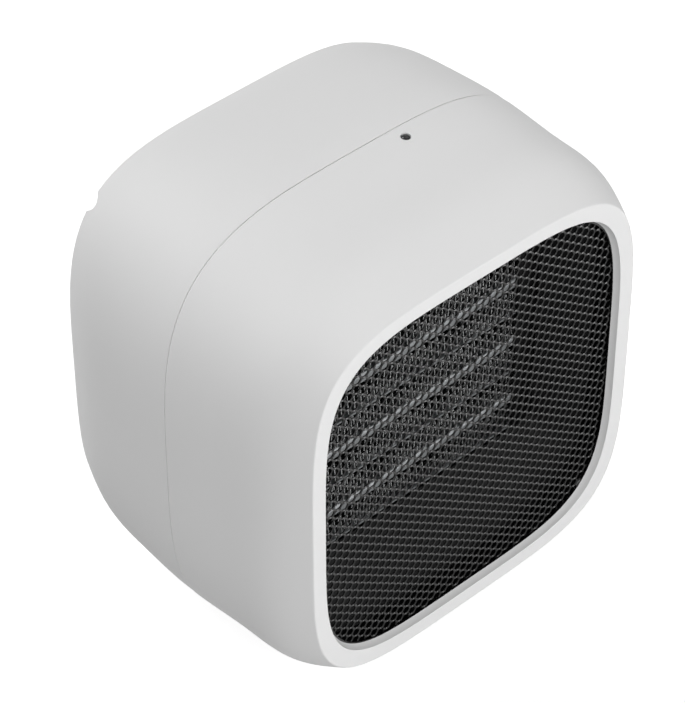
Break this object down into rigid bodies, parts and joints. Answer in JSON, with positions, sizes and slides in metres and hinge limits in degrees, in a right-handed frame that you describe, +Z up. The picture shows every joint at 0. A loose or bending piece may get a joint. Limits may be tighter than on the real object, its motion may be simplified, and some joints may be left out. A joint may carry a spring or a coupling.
{
  "type": "desktop fan heater",
  "caption": "Mini desktop fan heater: two squarish moulded shells, honeycomb outlet over a finned heating element, axial fan, round rear intake, rocker switch, cable bushing and rubber feet.",
  "frame": {"origin": "centre of the footprint, in the plane the rubber feet stand on", "axes": "+Z up, the air outlet faces -Y, +X to the right as seen from the front"},
  "size_m": [0.12, 0.0854, 0.1262],
  "materials": {
    "shell_white": "fine moulded matt, off-white",
    "grille_black": "satin black",
    "duct_black": "moulded black",
    "fan_black": "moulded black",
    "fin_aluminium": "plain sheet",
    "bar_aluminium": "extruded",
    "steel": "zinc plated",
    "switch_black": "moulded black",
    "brass": "plain",
    "bushing_black": "soft moulded black",
    "board_green": "solder mask",
    "component_grey": "plain",
    "thermostat_black": "phenolic",
    "lens_dark": "clear dark",
    "foot_rubber": "matt"
  },
  "bodies": {
    "heater": {"board_capacitor": "component_grey", "board_screw_1": "steel", "board_screw_2": "steel", "cable_bushing": "bushing_black", "control_board": "board_green", "duct_screw_1": "steel", "duct_screw_2": "steel", "fan_shroud": "duct_black", "foot_front_left": "foot_rubber", "foot_front_right": "foot_rubber", "foot_rear_left": "foot_rubber", "foot_rear_right": "foot_rubber", "front_shell": "shell_white", "heater_fins_1": "fin_aluminium", "heater_fins_2": "fin_aluminium", "heater_fins_3": "fin_aluminium", "heater_fins_4": "fin_aluminium", "heater_fins_5": "fin_aluminium", "heater_fins_6": "fin_aluminium", "heater_frame_left": "duct_black", "heater_frame_right": "duct_black", "heater_plate_1": "bar_aluminium", "heater_plate_2": "bar_aluminium", "heater_plate_3": "bar_aluminium", "heater_plate_4": "bar_aluminium", "indicator_led": "lens_dark", "indicator_lens": "lens_dark", "intake_grille": "shell_white", "led_board": "board_green", "motor_can": "steel", "motor_end_cap": "duct_black", "motor_screw_1": "steel", "motor_screw_2": "steel", "outlet_duct": "duct_black", "outlet_grille": "grille_black", "ptc_bar_lower": "bar_aluminium", "ptc_bar_middle": "bar_aluminium", "ptc_bar_upper": "bar_aluminium", "rear_shell": "shell_white", "shell_screw_1": "steel", "shell_screw_2": "steel", "shell_screw_3": "steel", "shell_screw_4": "steel", "shroud_screw_1": "steel", "shroud_screw_2": "steel", "shroud_screw_3": "steel", "shroud_screw_4": "steel", "switch_housing": "switch_black", "switch_terminal_left": "brass", "switch_terminal_right": "brass", "terminal_block": "board_green", "thermal_fuse": "component_grey", "thermostat": "thermostat_black", "tilt_switch": "steel"},
    "fan": {"fan_impeller": "fan_black", "motor_shaft": "steel"},
    "rocker": {"switch_rocker": "switch_black"}
  },
  "joints": [
    {"name": "fan_spin", "type": "hinge", "parent": "heater", "child": "fan", "pos_m": [0, 0.00733, 0.0637], "axis": [0, 1, 0], "continuous": true},
    {"name": "rocker_tilt", "type": "hinge", "parent": "heater", "child": "rocker", "pos_m": [-0.0185, 0.03796, 0.0218], "axis": [0, 0, 1], "range_deg": [0, 18]}
  ]
}
